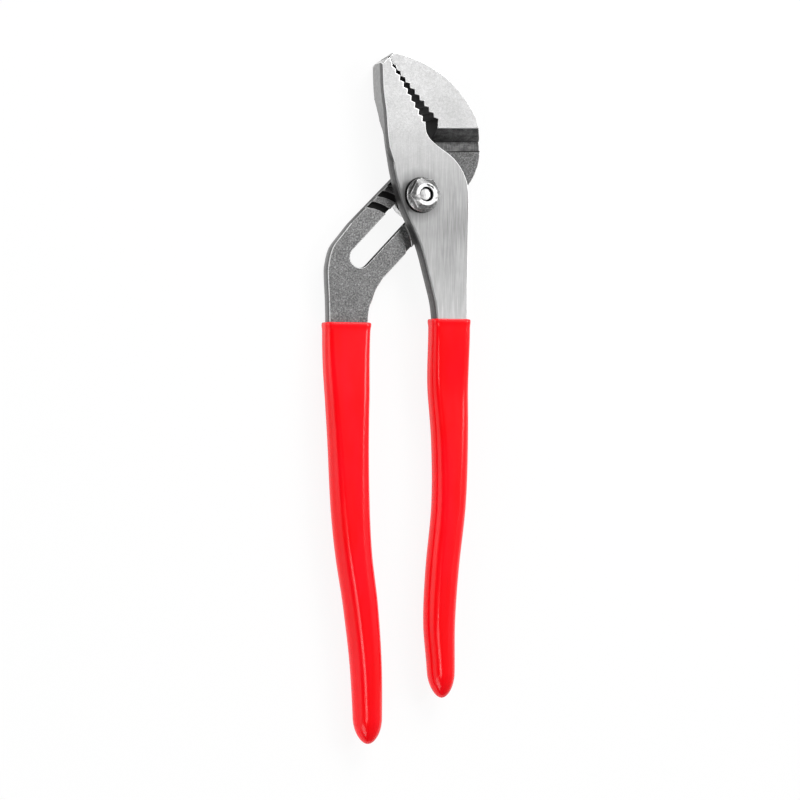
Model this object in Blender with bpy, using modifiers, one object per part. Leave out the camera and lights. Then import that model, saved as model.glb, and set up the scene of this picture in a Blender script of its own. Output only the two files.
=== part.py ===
"""Water pump pliers: two forged halves, a pivot bolt with a flange nut, and two dipped grips.

The tool lies flat, with the jaws towards +Y and the nut up. All lengths are in metres. The halves are
modelled about the bolt, which then moves so that the object stands centred over the world's origin.
"""

import math

import bmesh
import bpy
from mathutils import Matrix, Vector

# Clearances
face_gap = 0.0003
weld_distance = 0.00001
overrun = 0.004

# Bolt and nut
shank_radius = 0.0036
head_radius = 0.0080
head_thickness = 0.0040
head_chamfer = 0.0006
head_recess = 0.0026
thread_radius = 0.0024
thread_chamfer = 0.0004
end_recess = 0.0012
flange_radius = 0.0066
flange_thickness = 0.0014
flange_edge = 0.0007
hex_across_flats = 0.0100
hex_height = 0.0032
hex_chamfer = 0.0008
hex_turn = math.radians(12)

# Plates
plate_thickness = 0.0050
plate_radius = 0.0191
shoulder_end = math.radians(56)
tongue_neck_drop = 0.0453
slotted_neck_drop = 0.0469
neck_overlap = 0.0020

# Jaws
jaw_reach = 0.0519
throat_height = 0.0036
tooth_pitch = 0.00282
tooth_depth = 0.0011
bite_gap = 0.00015
jaw_step_run = 0.0140
jaw_step_drop = 0.0056

# Jaw block of the slotted half
block_gap = 0.0007
ramp_run = 0.0046
ramp_rise = 0.00065
ramp_turn = math.radians(2.7)
relief_width = 0.00345
relief_depth = 0.0008

# Tongue, slot and grooves
strip_angle = math.radians(45)
strip_back = 0.0106
strip_front = 0.0124
slot_angle = math.radians(46)
slot_length = 0.0320
seat_pitch = 0.0058
seat_count = 6
tongue_margin = 0.0017
tongue_radius = plate_radius - tongue_margin
tongue_width = 0.0018
tongue_height = 0.0015
tongue_angles = (math.radians(12), math.radians(57))
groove_clearance = 0.0003
groove_floor_gap = 0.0003
groove_spread = math.radians(56)

# Necks and grips
tongue_neck_x = 0.0121
tongue_neck_width = 0.0126
slotted_neck_x = -0.0266
slotted_neck_width = 0.0150
tongue_grip_length = 0.1407
slotted_grip_length = 0.1545
grip_wall = 0.0011
tang_clearance = 0.0005
level_run = 0.030
tip_length = 0.0095
rim_round = 0.0004
bead_height = 0.00015
bead_drop = 0.0012

# Levels, from the underside of the bolt's head, which sits in a recess along the slot
web_low = head_thickness + face_gap
back_low = web_low - head_recess
back_high = back_low + plate_thickness
front_low = back_high + face_gap
front_high = front_low + plate_thickness
middle_level = (back_low + front_high) / 2
nut_low = front_high + face_gap
nut_high = nut_low + flange_thickness + hex_height

# Places on the jaw block, above the bolt
ramp_foot = plate_radius + block_gap
block_edge = ramp_foot + ramp_run
root_level = block_edge + throat_height

# Outlines as shares: across in plate radii, up from -1 at the neck's end through 0 at the bolt
# and 1 at the root of the bite to 2 at the top of the jaws
tongue_back_edge_shares = (
    (-0.806, 1.870), (-0.785, 1.440), (-0.723, 1.082), (-0.691, 0.780), (-0.634, 0.518), (-0.539, 0.189),
    (-0.372, -0.106), (-0.267, -0.200), (-0.131, -0.315), (0.000, -0.455), (0.136, -0.661), (0.262, -0.863),
)
tongue_front_edge_shares = ((0.965, -0.698), (0.980, -0.455), (0.990, -0.220))
throat_shares = ((0.398, 0.632), (0.209, 0.729), (0.110, 0.821), (0.079, 0.935))
jaw_back_shares = (
    (1.099, 0.157), (1.220, 0.282), (1.298, 0.407), (1.350, 0.582), (1.344, 0.757), (1.225, 0.905),
    (1.155, 1.074), (0.932, 1.338), (0.610, 1.608), (0.136, 1.838), (-0.314, 1.960), (-0.597, 2.0),
)
tongue_valley_shares = ((-0.612, 1.784), (0.014, 0.973))
slotted_valley_shares = ((-0.540, 1.799), (0.349, 1.019))
parting_top_share = (-0.691, 1.965)
tip_front_shares = ((-0.804, 1.848), (-0.601, 1.994))
tip_back_shares = ((-0.811, 1.858), (-0.602, 1.950))
parting_length_share = 0.8
block_side_share = 0.335
throat_corner_share = (0.288, 0.750)
throat_start_share = 0.778

# Back of the tongue half's jaw, from the plate to its full depth: along, down
jaw_step_shares = (
    (0.0, 0.0), (0.05, 0.02), (0.12, 0.15), (0.28, 0.44), (0.54, 0.70), (0.80, 0.90), (1.0, 1.02),
)

# Bends of the slotted half's neck, as shares of the way from the strip to the neck's end
outer_bend_shares = ((0.419, 0.119), (0.846, 0.249), (1.036, 0.404), (1.075, 0.520), (1.024, 0.755))
inner_bend_shares = ((0.443, 0.248), (0.689, 0.486), (0.918, 0.706))
outer_bend_start_share = 0.802
inner_bend_start_share = 0.963

# Grips: length from the rim, sideways shift in grip lengths, width and depth in rim sizes,
# outer and inner corner radius in half depths
slotted_grip_shares = (
    (0.00, 0.0000, 1.000, 1.00, 0.67, 0.18),
    (0.13, -0.0050, 0.960, 1.08, 0.80, 0.55),
    (0.28, -0.0026, 0.870, 1.18, 0.90, 0.85),
    (0.44, 0.0026, 0.820, 1.29, 0.95, 0.95),
    (0.55, 0.0115, 0.775, 1.34, 0.97, 0.97),
    (0.67, 0.0285, 0.735, 1.36, 0.97, 0.97),
    (0.82, 0.0424, 0.665, 1.34, 0.97, 0.97),
    (1.00, 0.0476, 0.580, 1.25, 0.97, 0.97),
)
tongue_grip_shares = (
    (0.00, 0.0000, 1.000, 1.00, 0.67, 0.18),
    (0.16, 0.0030, 1.000, 1.09, 0.80, 0.55),
    (0.32, 0.0095, 0.907, 1.20, 0.90, 0.85),
    (0.49, 0.0066, 0.848, 1.28, 0.95, 0.95),
    (0.66, -0.0119, 0.821, 1.33, 0.97, 0.97),
    (0.80, -0.0205, 0.780, 1.33, 0.97, 0.97),
    (0.91, -0.0165, 0.690, 1.30, 0.97, 0.97),
    (1.00, -0.0133, 0.620, 1.22, 0.97, 0.97),
)
tip_shares = (0.72, 0.48, 0.28, 0.13, 0.04)
tip_roundness_share = 0.55
tang_end_share = 0.93

# Fineness of round stretches
arc_steps = 14
round_steps = 48
curve_steps = 3
corner_steps = 6
tip_rings = 6
grip_rings = 16


def clear_scene():
    """Remove whatever the scene holds."""
    for item in list(bpy.data.objects):
        bpy.data.objects.remove(item, do_unlink=True)


def make_collection(name):
    """A new collection in the scene."""
    collection = bpy.data.collections.new(name)
    bpy.context.scene.collection.children.link(collection)
    return collection


def make_material(name, colour, roughness, metallic):
    """A Principled material."""
    material = bpy.data.materials.new(name)
    material.use_nodes = True
    shader = material.node_tree.nodes["Principled BSDF"]
    shader.inputs["Base Color"].default_value = (*colour, 1)
    shader.inputs["Roughness"].default_value = roughness
    shader.inputs["Metallic"].default_value = metallic
    material.diffuse_color = (*colour, 1)
    return material


def place(across_share, up_share):
    """A point of an outline from its two shares."""
    x = across_share * plate_radius
    if up_share > 1:
        y = root_level + (up_share - 1) * (jaw_reach - root_level)
    elif up_share > 0:
        y = up_share * root_level
    else:
        y = up_share * tongue_neck_drop
    return Vector((x, y))


def along_strip(distance, offset, angle=strip_angle):
    """A point of the slotted strip, by distance towards the jaw and offset towards its upper edge."""
    cosine, sine = math.cos(angle), math.sin(angle)
    return Vector((distance * cosine - offset * sine, distance * sine + offset * cosine))


def arc(centre, radius, start, end, steps=arc_steps):
    """Points along an arc."""
    angles = [start + (end - start) * step / steps for step in range(steps + 1)]
    return [centre + Vector((math.cos(angle), math.sin(angle))) * radius for angle in angles]


def smooth(points, steps=curve_steps):
    """Points along a Catmull-Rom curve through the given ones."""
    curve = []
    for index in range(len(points) - 1):
        before = points[max(index - 1, 0)]
        start, end = points[index], points[index + 1]
        after = points[min(index + 2, len(points) - 1)]
        for step in range(steps):
            t = step / steps
            curve.append(0.5 * (2 * start + (end - before) * t
                                + (2 * before - 5 * start + 4 * end - after) * t ** 2
                                + (3 * start - before - 3 * end + after) * t ** 3))
    curve.append(points[-1])
    return curve


def tooth_row(own_shares, facing_shares):
    """The toothed edge of a jaw from its tip to its root, kept clear of the facing jaw."""
    start, end = (place(*share) for share in own_shares)
    facing_start, facing_end = (place(*share) for share in facing_shares)
    middle_start, middle_end = (start + facing_start) / 2, (end + facing_end) / 2
    run = end - start
    outward = Vector((-run.y, run.x)).normalized()
    if outward.dot(middle_start - start) < 0:
        outward = -outward
    gaps = max(2, round(run.length / tooth_pitch))
    points = []
    for step in range(2 * gaps + 1):
        share = step / (2 * gaps)
        valley = start.lerp(end, share)
        room = outward.dot(middle_start.lerp(middle_end, share) - valley) - bite_gap
        crest = min(tooth_depth, room)
        points.append(valley + outward * crest if step % 2 else valley)
    return points


def parting_line(side):
    """Where the closed tips meet, from the top down, on one side of the gap between them."""
    top = place(*parting_top_share)
    starts = place(*tongue_valley_shares[0]), place(*slotted_valley_shares[0])
    bottom = top.lerp((starts[0] + starts[1]) / 2, parting_length_share)
    run = (bottom - top).normalized()
    shift = Vector((-run.y, run.x)) * side * bite_gap
    return [top + shift, bottom + shift]


def add_object(name, mesh, parent, collection, material=None):
    """An object for a mesh, under its pivot."""
    item = bpy.data.objects.new(name, mesh)
    collection.objects.link(item)
    item.parent = parent
    if material:
        mesh.materials.append(material)
    return item


def make_tool(item):
    """Keep an object as a guide for a Boolean only."""
    item.hide_render = True
    item.display_type = 'WIRE'
    return item


def extruded(name, points, low, high, parent, collection, material=None, sideways=False):
    """A flat outline made solid between two levels, or an outline in Y and Z between two X places."""
    curve = bpy.data.curves.new(name + "_outline", 'CURVE')
    curve.dimensions = '2D'
    curve.fill_mode = 'BOTH'
    curve.extrude = (high - low) / 2
    spline = curve.splines.new('POLY')
    spline.points.add(len(points) - 1)
    for corner, point in zip(spline.points, points):
        corner.co = (point[0], point[1], 0, 1)
    spline.use_cyclic_u = True
    guide = bpy.data.objects.new(name + "_outline", curve)
    collection.objects.link(guide)
    if sideways:
        guide.rotation_euler = (math.pi / 2, 0, math.pi / 2)
        guide.location.x = (low + high) / 2
    else:
        guide.location.z = (low + high) / 2
    bpy.context.view_layer.update()
    evaluated = guide.evaluated_get(bpy.context.evaluated_depsgraph_get())
    mesh = bpy.data.meshes.new_from_object(evaluated)
    welded = bmesh.new()
    welded.from_mesh(mesh)
    bmesh.ops.remove_doubles(welded, verts=welded.verts, dist=weld_distance)
    bmesh.ops.recalc_face_normals(welded, faces=welded.faces)
    welded.to_mesh(mesh)
    welded.free()
    mesh.name = name
    item = add_object(name, mesh, parent, collection, material)
    item.matrix_world = guide.matrix_world
    bpy.data.objects.remove(guide, do_unlink=True)
    return item


def turned(name, profile, parent, collection, material=None):
    """A profile of radius and height, listed from the top down, turned about the bolt's axis."""
    mesh = bpy.data.meshes.new(name)
    edges = [(index, index + 1) for index in range(len(profile) - 1)]
    mesh.from_pydata([(radius, 0, height) for radius, height in profile], edges, [])
    item = add_object(name, mesh, parent, collection, material)
    screw = item.modifiers.new("Turn", 'SCREW')
    screw.steps = round_steps
    screw.render_steps = round_steps
    screw.use_merge_vertices = True
    screw.merge_threshold = weld_distance
    return item


def lofted(name, rings, parent, collection, material=None):
    """A closed skin over rings that all have the same number of points."""
    skin = bmesh.new()
    loops = [[skin.verts.new(point) for point in ring] for ring in rings]
    for near, far in zip(loops, loops[1:]):
        for index in range(len(near)):
            following = (index + 1) % len(near)
            skin.faces.new((near[index], near[following], far[following], far[index]))
    skin.faces.new(loops[0])
    skin.faces.new(loops[-1])
    bmesh.ops.recalc_face_normals(skin, faces=skin.faces)
    mesh = bpy.data.meshes.new(name)
    skin.to_mesh(mesh)
    skin.free()
    return add_object(name, mesh, parent, collection, material)


def combine(item, tool, operation):
    """Cut, join or trim an object with a guide."""
    boolean = item.modifiers.new(tool.name, 'BOOLEAN')
    boolean.operation = operation
    boolean.solver = 'EXACT'
    boolean.object = make_tool(tool)


def shade_round(item, angle=math.radians(35)):
    """Smooth shading with sharp edges kept."""
    item.data.shade_smooth()
    item.data.set_sharp_from_angle(angle=angle)


def read_row(rows, share):
    """The values of a table of shares at one place, on a smooth curve through its rows."""
    index = 0
    while index < len(rows) - 2 and share > rows[index + 1][0]:
        index += 1
    before, start = rows[max(index - 1, 0)], rows[index]
    end, after = rows[index + 1], rows[min(index + 2, len(rows) - 1)]
    span = end[0] - start[0]
    t = (share - start[0]) / span
    values = []
    for column in range(1, len(start)):
        leave = (end[column] - before[column]) / (end[0] - before[0]) * span
        arrive = (after[column] - start[column]) / (after[0] - start[0]) * span
        values.append((2 * t ** 3 - 3 * t ** 2 + 1) * start[column] + (t ** 3 - 2 * t ** 2 + t) * leave
                      + (3 * t ** 2 - 2 * t ** 3) * end[column] + (t ** 3 - t ** 2) * arrive)
    return values


class Handle:
    """Sections of one handle: its sleeve, the hollow in it and the tang."""

    def __init__(self, rows, neck_x, neck_width, neck_drop, neck_level, length):
        self.rows = rows
        self.neck_x = neck_x
        self.neck_drop = neck_drop
        self.neck_level = neck_level
        self.length = length
        self.rim_width = neck_width + 2 * (face_gap + grip_wall)
        self.rim_depth = plate_thickness + 2 * (face_gap + grip_wall)

    def ring(self, drop, inset=0, scale=1, inner=False):
        """A rounded rectangle at a drop below the rim, drawn in by an inset."""
        share = min(drop / self.length, 1)
        shift, width, depth, outer_corner, inner_corner = read_row(self.rows, share)
        settle = min(drop / level_run, 1)
        level = self.neck_level + (middle_level - self.neck_level) * settle ** 2 * (3 - 2 * settle)
        half_width = (width * self.rim_width / 2 - inset) * scale
        half_depth = (depth * self.rim_depth / 2 - inset) * scale
        corner = (inner_corner if inner else outer_corner) * min(half_width, half_depth)
        points = []
        for quarter, (side, face) in enumerate(((1, 1), (-1, 1), (-1, -1), (1, -1))):
            for step in range(corner_steps):
                angle = math.pi / 2 * (quarter + step / (corner_steps - 1))
                x = side * (half_width - corner) + corner * math.cos(angle)
                z = face * (half_depth - corner) + corner * math.sin(angle)
                points.append((self.neck_x + shift * self.length + x, -self.neck_drop - drop, level + z))
        return points

    def drops(self, start, end, count=grip_rings):
        """Evenly spaced drops below the rim."""
        return [start + (end - start) * step / count for step in range(count + 1)]

    def tang(self, name, parent, collection):
        """The steel tang, from inside the neck to its end near the grip's tip."""
        drops = self.drops(neck_overlap / 2, tang_end_share * self.length)
        inset = grip_wall + tang_clearance
        rings = [self.ring(drop, inset, inner=True) for drop in drops]
        return lofted(name, rings, parent, collection)

    def sleeve(self, name, parent, collection, material):
        """The dipped grip: a closed tube with a rolled rim and a rounded, slightly pointed end."""
        hollow_end = tang_end_share * self.length + face_gap
        rings = [self.ring(drop, grip_wall, inner=True) for drop in reversed(self.drops(0, hollow_end))]
        rings.append(self.ring(0, rim_round))
        rings.append(self.ring(rim_round))
        rings.append(self.ring(bead_drop, -bead_height))
        body_end = self.length - tip_length
        rings += [self.ring(drop) for drop in self.drops(2 * bead_drop, body_end)]
        for share in tip_shares:
            scale = (1 - (1 - share) ** 2) ** tip_roundness_share
            rings.append(self.ring(self.length - share * tip_length, scale=scale))
        item = lofted(name, rings, parent, collection, material)
        shade_round(item, math.radians(50))
        return item


def trim_tip(half, pivot, tools):
    """Trim the end of a jaw to a face that turns a little from its front edge to its back edge."""
    jaw_depth = front_high - back_low
    front_edge = [place(*share) for share in tip_front_shares]
    back_edge = [place(*share) for share in tip_back_shares]
    rings = []
    for step in range(tip_rings + 1):
        level = front_high + overrun - step / tip_rings * (jaw_depth + 2 * overrun)
        share = (front_high - level) / jaw_depth
        start, end = (front.lerp(back, share) for front, back in zip(front_edge, back_edge))
        run = (end - start).normalized() * plate_radius
        rise = Vector((-run.y, run.x))
        corners = (start - run, end + run, end + run + rise, start - run + rise)
        rings.append([(corner.x, corner.y, level) for corner in corners])
    combine(half, lofted(half.name + "_tip", rings, pivot, tools), 'DIFFERENCE')


def slot_outline(radius):
    """The outline of a slot along the strip that lets a round piece of this radius slide."""
    radius += face_gap
    outline = arc(along_strip(face_gap, 0, slot_angle), radius, slot_angle - math.pi / 2, slot_angle + math.pi / 2)
    outline += arc(along_strip(-slot_length, 0, slot_angle), radius,
                   slot_angle + math.pi / 2, slot_angle + 3 * math.pi / 2)
    return outline


def build_tongue_half(pivot, parts, tools, material, handle):
    """Front half: left jaw, plate, neck and tang, with the curved tongue behind it."""
    neck_end = -tongue_neck_drop - neck_overlap
    near_x = tongue_neck_x - tongue_neck_width / 2
    far_x = tongue_neck_x + tongue_neck_width / 2
    front_edge = [Vector((far_x, neck_end)), Vector((far_x, -tongue_neck_drop))]
    front_edge += [place(*share) for share in tongue_front_edge_shares]
    shoulder = arc(Vector((0, 0)), plate_radius, 0, shoulder_end)
    throat = [shoulder[-1]] + [place(*share) for share in throat_shares]
    teeth = tooth_row(tongue_valley_shares, slotted_valley_shares)
    back_edge = [place(*share) for share in tongue_back_edge_shares]
    neck = [Vector((near_x, -tongue_neck_drop)), Vector((near_x, neck_end))]
    outline = front_edge + shoulder + smooth(throat)[1:] + list(reversed(teeth))
    outline += list(reversed(parting_line(-1))) + smooth(back_edge + neck[:1]) + neck[1:]
    half = extruded("tongue_half", outline, back_low, front_high, pivot, parts, material)

    step_foot = root_level - jaw_step_drop
    below = back_low - overrun
    profile = [Vector((neck_end - overrun, below)), Vector((neck_end - overrun, front_low))]
    profile += smooth([Vector((step_foot + along * jaw_step_run, front_low + down * (back_low - front_low)))
                       for along, down in jaw_step_shares])
    profile.append(Vector((step_foot + jaw_step_run, below)))
    step = extruded("back_step", profile, -2 * plate_radius, 2 * plate_radius, pivot, tools, sideways=True)
    combine(half, step, 'DIFFERENCE')
    trim_tip(half, pivot, tools)

    centre = Vector((0, 0))
    rib = arc(centre, tongue_radius + tongue_width / 2, *tongue_angles)
    rib += arc(centre, tongue_radius - tongue_width / 2, *reversed(tongue_angles))
    rib_top = front_low + plate_thickness / 2
    tongue = extruded("tongue_rib", rib, front_low - tongue_height, rib_top, pivot, tools)
    combine(half, tongue, 'UNION')
    combine(half, handle.tang("tongue_tang", pivot, tools), 'UNION')

    hole_radius = shank_radius + face_gap
    hole = turned("bolt_hole", [
        (0, front_high + overrun), (hole_radius, front_high + overrun),
        (hole_radius, back_low - overrun), (0, back_low - overrun),
    ], pivot, tools)
    combine(half, hole, 'DIFFERENCE')
    return half


def build_slotted_half(pivot, parts, tools, material, handle):
    """Back half: right jaw block, strip with its slot and grooves, bent neck and tang."""
    neck_end = -slotted_neck_drop - neck_overlap
    near_x = slotted_neck_x - slotted_neck_width / 2
    far_x = slotted_neck_x + slotted_neck_width / 2
    outer_start = along_strip(-outer_bend_start_share * slot_length, strip_back)
    inner_start = along_strip(-inner_bend_start_share * slot_length, -strip_front)
    outer_end = Vector((near_x, -slotted_neck_drop))
    inner_end = Vector((far_x, -slotted_neck_drop))

    def bend(start, end, shares):
        middle = [Vector((start.x + (end.x - start.x) * across, start.y + (end.y - start.y) * down))
                  for across, down in shares]
        return smooth([start] + middle + [end])

    block_side = block_side_share * plate_radius
    jaw_back = [place(*share) for share in jaw_back_shares]
    teeth = tooth_row(slotted_valley_shares, tongue_valley_shares)
    outline = [Vector((far_x, neck_end))] + list(reversed(bend(inner_start, inner_end, inner_bend_shares)))
    outline += smooth(jaw_back) + parting_line(1) + teeth
    outline += [Vector((block_side, block_edge)), place(*throat_corner_share)]
    outline.append(along_strip(throat_start_share * ramp_foot, strip_back))
    outline += bend(outer_start, outer_end, outer_bend_shares) + [Vector((near_x, neck_end))]
    half = extruded("slotted_half", outline, back_low, front_high, pivot, parts, material)

    above = front_high + overrun
    profile = [
        Vector((neck_end - overrun, back_high)), Vector((ramp_foot - relief_width, back_high)),
        Vector((ramp_foot - relief_width, back_high - relief_depth)), Vector((ramp_foot, back_high - relief_depth)),
        Vector((ramp_foot, back_high)), Vector((block_edge, front_high)),
        Vector((block_edge, above)), Vector((neck_end - overrun, above)),
    ]
    reach = 2 * (slotted_neck_width - slotted_neck_x)
    front = extruded("front_relief", profile, -reach, reach, pivot, tools, sideways=True)
    corner = Vector((block_side, block_edge, 0))
    rise = Matrix.Translation(corner + Vector((0, ramp_rise, 0)))
    front.matrix_world = rise @ Matrix.Rotation(ramp_turn, 4, 'Z') @ Matrix.Translation(-corner) @ front.matrix_world
    combine(half, front, 'DIFFERENCE')
    trim_tip(half, pivot, tools)

    slot = extruded("slot", slot_outline(shank_radius), back_low - overrun, back_high + overrun, pivot, tools)
    combine(half, slot, 'DIFFERENCE')
    recess = extruded("recess", slot_outline(head_radius), back_low - overrun, web_low, pivot, tools)
    combine(half, recess, 'DIFFERENCE')

    spread = (slot_angle - groove_spread, slot_angle + groove_spread)
    groove_low = front_low - tongue_height - groove_floor_gap
    for seat in range(seat_count):
        centre = along_strip(-seat * seat_pitch, 0, slot_angle)
        groove = arc(centre, tongue_radius + tongue_width / 2 + groove_clearance, *spread)
        groove += arc(centre, tongue_radius - tongue_width / 2 - groove_clearance, *reversed(spread))
        tool = extruded(f"groove_{seat + 1}", groove, groove_low, back_high + overrun, pivot, tools)
        combine(half, tool, 'DIFFERENCE')

    combine(half, handle.tang("slotted_tang", pivot, tools), 'UNION')
    return half


def build_bolt(pivot, parts, material):
    """The pivot bolt: wide flat head at the back, plain shank and a thinner threaded end."""
    end_level = nut_high - end_recess
    bolt = turned("pivot_bolt", [
        (0, end_level), (thread_radius - thread_chamfer, end_level),
        (thread_radius, end_level - thread_chamfer), (thread_radius, front_high),
        (shank_radius, front_high), (shank_radius, head_thickness),
        (head_radius, head_thickness), (head_radius, head_chamfer),
        (head_radius - head_chamfer, 0), (0, 0),
    ], pivot, parts, material)
    return bolt


def build_nut(pivot, parts, tools, material):
    """The flange nut: round sloping flange, chamfered hex and bore."""
    hex_low = nut_low + flange_thickness / 2
    bpy.ops.mesh.primitive_cylinder_add(
        vertices=6, radius=hex_across_flats / 2 / math.cos(math.pi / 6), depth=nut_high - hex_low,
        location=(0, 0, (nut_high + hex_low) / 2), rotation=(0, 0, hex_turn))
    nut = bpy.context.active_object
    nut.name = "flange_nut"
    nut.data.name = "flange_nut"
    nut.users_collection[0].objects.unlink(nut)
    parts.objects.link(nut)
    nut.parent = pivot
    nut.data.materials.append(material)

    flat_radius = hex_across_flats / 2
    bevel_radius = flat_radius / math.cos(math.pi / 6) + hex_chamfer
    chamfer = turned("nut_chamfer", [
        (0, nut_high), (flat_radius - hex_chamfer, nut_high), (bevel_radius, nut_high - hex_chamfer * 2),
        (bevel_radius, nut_low), (0, nut_low),
    ], pivot, tools)
    combine(nut, chamfer, 'INTERSECT')
    flange_high = nut_low + flange_thickness
    flange = turned("nut_flange", [
        (0, flange_high), (flat_radius, flange_high), (flange_radius, nut_low + flange_edge),
        (flange_radius, nut_low), (0, nut_low),
    ], pivot, tools)
    combine(nut, flange, 'UNION')
    bore_radius = thread_radius + face_gap
    bore = turned("nut_bore", [
        (0, nut_high + overrun), (bore_radius + thread_chamfer + overrun, nut_high + overrun),
        (bore_radius, nut_high - thread_chamfer), (bore_radius, nut_low - overrun), (0, nut_low - overrun),
    ], pivot, tools)
    combine(nut, bore, 'DIFFERENCE')
    return nut


def centre_over_origin(pivot, parts):
    """Move the pivot so that the object's box is centred over the world's origin."""
    bpy.context.view_layer.update()
    depsgraph = bpy.context.evaluated_depsgraph_get()
    points = []
    for item in parts.objects:
        evaluated = item.evaluated_get(depsgraph)
        points += [item.matrix_world @ vertex.co for vertex in evaluated.data.vertices]
    lows = [min(point[axis] for point in points) for axis in range(2)]
    highs = [max(point[axis] for point in points) for axis in range(2)]
    pivot.location.x -= (lows[0] + highs[0]) / 2
    pivot.location.y -= (lows[1] + highs[1]) / 2


def make_pivot(name, collection, parent=None):
    """An empty on the bolt's axis."""
    pivot = bpy.data.objects.new(name, None)
    pivot.parent = parent
    collection.objects.link(pivot)
    return pivot


def main():
    clear_scene()
    parts = make_collection("water_pump_pliers")
    tools = make_collection("cutters")
    guides = make_collection("pivots")
    pivot = make_pivot("bolt_axis", guides)
    slotted_pivot = make_pivot("slotted_side_axis", guides, pivot)

    satin_steel = make_material("satin_steel", (0.62, 0.62, 0.62), 0.35, 1.0)
    forged_steel = make_material("forged_steel", (0.22, 0.22, 0.23), 0.60, 1.0)
    zinc = make_material("bright_zinc", (0.75, 0.75, 0.76), 0.25, 1.0)
    vinyl = make_material("red_vinyl", (0.80, 0.01, 0.01), 0.20, 0.0)

    tongue_handle = Handle(tongue_grip_shares, tongue_neck_x, tongue_neck_width, tongue_neck_drop,
                           (front_low + front_high) / 2, tongue_grip_length)
    slotted_handle = Handle(slotted_grip_shares, slotted_neck_x, slotted_neck_width, slotted_neck_drop,
                            (back_low + back_high) / 2, slotted_grip_length)
    build_tongue_half(pivot, parts, tools, satin_steel, tongue_handle)
    build_slotted_half(slotted_pivot, parts, tools, forged_steel, slotted_handle)
    build_bolt(pivot, parts, zinc)
    build_nut(pivot, parts, tools, zinc)
    tongue_handle.sleeve("tongue_half_grip", pivot, parts, vinyl)
    slotted_handle.sleeve("slotted_half_grip", slotted_pivot, parts, vinyl)
    centre_over_origin(pivot, parts)
    print("Bolt axis at", tuple(round(value, 6) for value in pivot.location))


main()
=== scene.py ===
"""Water pump pliers with dipped grips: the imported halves, bolt, nut and sleeves, dressed for one view."""

import math

import bmesh
import bpy
from mathutils import Matrix, Vector


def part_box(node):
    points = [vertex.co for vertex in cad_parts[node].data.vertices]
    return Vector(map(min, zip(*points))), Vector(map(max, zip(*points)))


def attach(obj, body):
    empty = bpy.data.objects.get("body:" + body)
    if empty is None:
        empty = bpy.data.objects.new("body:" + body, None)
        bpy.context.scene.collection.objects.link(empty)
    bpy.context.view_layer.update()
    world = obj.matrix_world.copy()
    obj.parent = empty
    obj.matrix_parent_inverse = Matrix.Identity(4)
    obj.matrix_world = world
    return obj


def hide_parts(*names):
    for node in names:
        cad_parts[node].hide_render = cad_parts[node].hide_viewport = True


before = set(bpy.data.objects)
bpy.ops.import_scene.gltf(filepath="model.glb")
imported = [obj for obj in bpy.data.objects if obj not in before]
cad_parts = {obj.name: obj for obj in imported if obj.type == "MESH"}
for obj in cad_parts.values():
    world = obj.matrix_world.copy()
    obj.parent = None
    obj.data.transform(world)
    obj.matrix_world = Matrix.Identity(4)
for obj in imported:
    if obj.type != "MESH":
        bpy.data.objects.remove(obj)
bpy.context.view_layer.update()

# Bodies
tongue_side = "tongue_side"
slotted_side = "slotted_side"

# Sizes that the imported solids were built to
face_gap = 0.0003
plate_thickness = 0.0050
shank_radius = 0.0036
thread_radius = 0.0024
head_radius = 0.0080
head_recess = 0.0024
slot_angle = math.radians(46)
slot_length = 0.0320
relief_depth = 0.0008
groove_depth = 0.0015

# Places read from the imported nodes
nut_low_corner, nut_high_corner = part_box("flange_nut")
bolt_low_corner, bolt_high_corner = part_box("pivot_bolt")
bolt_axis = Vector(((bolt_low_corner.x + bolt_high_corner.x) / 2,
                    (bolt_low_corner.y + bolt_high_corner.y) / 2))
front_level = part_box("tongue_half")[1].z
back_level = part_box("slotted_half")[0].z
strip_level = back_level + plate_thickness
middle_level = (back_level + front_level) / 2

# Rises above the bolt's axis, along the tool, where its parts begin and end
tip_rise = 0.0475
bite_top_rise = 0.0470
bite_foot_rise = 0.0262
ramp_foot_rise = 0.0198
relief_foot_rise = 0.0170
back_throat_rise = 0.0160
soft_edge_top_rise = 0.0150
front_throat_rise = 0.0135
soft_edge_low_rise = -0.0530
front_rounding_low_rise = -0.0480
back_rounding_low_rise = -0.0500

# The line along which the closed jaws meet, from the bolt's axis: tip, start of the teeth, root
bite_line = (Vector((-0.0132, 0.0511)), Vector((-0.0110, 0.0469)), Vector((0.0035, 0.0279)))

# Slopes of a face's normal that tell tops, walls and tips apart
flat_top = 0.95
nearly_flat_top = 0.90
leaning_top = 0.50
wall_lean = 0.50
tip_slope = 0.45

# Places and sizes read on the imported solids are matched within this
level_slack = 0.0001


def link(item):
    """Put an object in the scene."""
    bpy.context.scene.collection.objects.link(item)
    return item


# Materials
def new_material(name, metallic=0.0):
    """A new material, its tree and its Principled shader."""
    material = bpy.data.materials.new(name)
    material.use_nodes = True
    tree = material.node_tree
    shader = tree.nodes["Principled BSDF"]
    shader.inputs["Metallic"].default_value = metallic
    return material, tree, shader


def spot(tree, scale=(1, 1, 1), shift=(0, 0, 0)):
    """Object coordinates, stretched and moved by a Mapping node."""
    coordinate = tree.nodes.new("ShaderNodeTexCoord")
    mapping = tree.nodes.new("ShaderNodeMapping")
    mapping.inputs["Scale"].default_value = scale
    mapping.inputs["Location"].default_value = shift
    tree.links.new(coordinate.outputs["Object"], mapping.inputs["Vector"])
    return mapping.outputs["Vector"]


def noise(tree, where, scale, detail=3.0, roughness=0.55):
    """Noise of one scale at given coordinates."""
    node = tree.nodes.new("ShaderNodeTexNoise")
    node.inputs["Scale"].default_value = scale
    node.inputs["Detail"].default_value = detail
    node.inputs["Roughness"].default_value = roughness
    tree.links.new(where, node.inputs["Vector"])
    return node.outputs["Fac"]


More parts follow.
